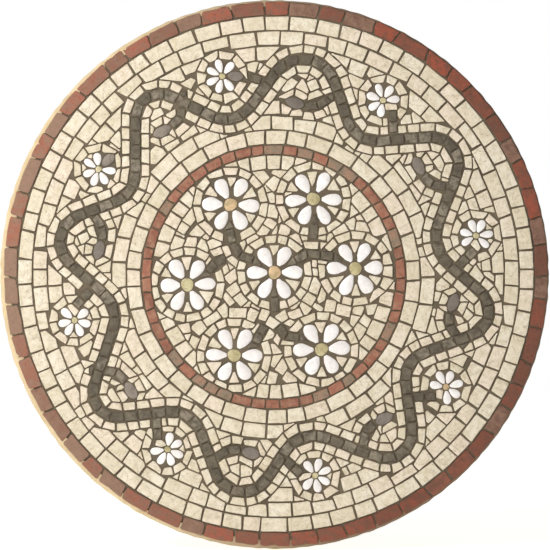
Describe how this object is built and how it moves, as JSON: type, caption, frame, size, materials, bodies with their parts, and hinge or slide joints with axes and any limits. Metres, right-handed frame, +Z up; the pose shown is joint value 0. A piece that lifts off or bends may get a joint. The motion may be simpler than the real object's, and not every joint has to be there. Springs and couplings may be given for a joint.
{
  "type": "round mosaic panel",
  "caption": "Round stone mosaic wall panel: a wavy vine with daisies, tendrils and leaves round a middle of white flowers, between brick-red courses.",
  "frame": {"origin": "middle of the flat back, where the panel is fixed to a wall", "axes": "+Z up the panel, +Y out of its back into the wall, so that the face looks along -Y; +X to the right of someone who looks at the face"},
  "size_m": [0.6, 0.0183, 0.6],
  "materials": {
    "cement": "trowelled cement, matt",
    "brick_red_stone": "cut red stone, matt",
    "cream_marble": "hand-cut honed marble",
    "grey_stone": "hand-cut grey stone",
    "grey_purple_stone": "cut grey-purple stone, satin",
    "white_marble": "polished white marble"
  },
  "bodies": {
    "root": {"daisy_1": "white_marble", "daisy_2": "white_marble", "daisy_3": "white_marble", "daisy_4": "white_marble", "daisy_5": "white_marble", "daisy_6": "white_marble", "daisy_7": "white_marble", "daisy_8": "white_marble", "daisy_leaf_7": "grey_purple_stone", "daisy_leaf_8": "grey_purple_stone", "daisy_stem_1": "grey_stone", "daisy_stem_2": "grey_stone", "daisy_stem_3": "grey_stone", "daisy_stem_4": "grey_stone", "daisy_stem_5": "grey_stone", "daisy_stem_6": "grey_stone", "daisy_stem_8": "grey_stone", "flower_left": "white_marble", "flower_lower_left": "white_marble", "flower_lower_right": "white_marble", "flower_middle": "white_marble", "flower_right": "white_marble", "flower_stem_left": "grey_stone", "flower_stem_lower_left": "grey_stone", "flower_stem_lower_right": "grey_stone", "flower_stem_right": "grey_stone", "flower_stem_trunk": "grey_stone", "flower_stem_upper_left": "grey_stone", "flower_stem_upper_right": "grey_stone", "flower_upper_left": "white_marble", "flower_upper_right": "white_marble", "inner_brick_course": "brick_red_stone", "inner_field": "cream_marble", "leaf_1": "grey_purple_stone", "leaf_2": "grey_purple_stone", "leaf_3": "grey_purple_stone", "leaf_4": "grey_purple_stone", "leaf_5": "grey_purple_stone", "leaf_6": "grey_purple_stone", "leaf_7": "grey_purple_stone", "leaf_8": "grey_purple_stone", "middle_field": "cream_marble", "mortar_bed": "cement", "outer_brick_course": "brick_red_stone", "outer_field": "cream_marble", "tendril_1": "grey_stone", "tendril_2": "grey_stone", "tendril_3": "grey_stone", "tendril_4": "grey_stone", "tendril_5": "grey_stone", "tendril_6": "grey_stone", "tendril_7": "grey_stone", "tendril_8": "grey_stone", "vine": "grey_stone"}
  },
  "joints": []
}
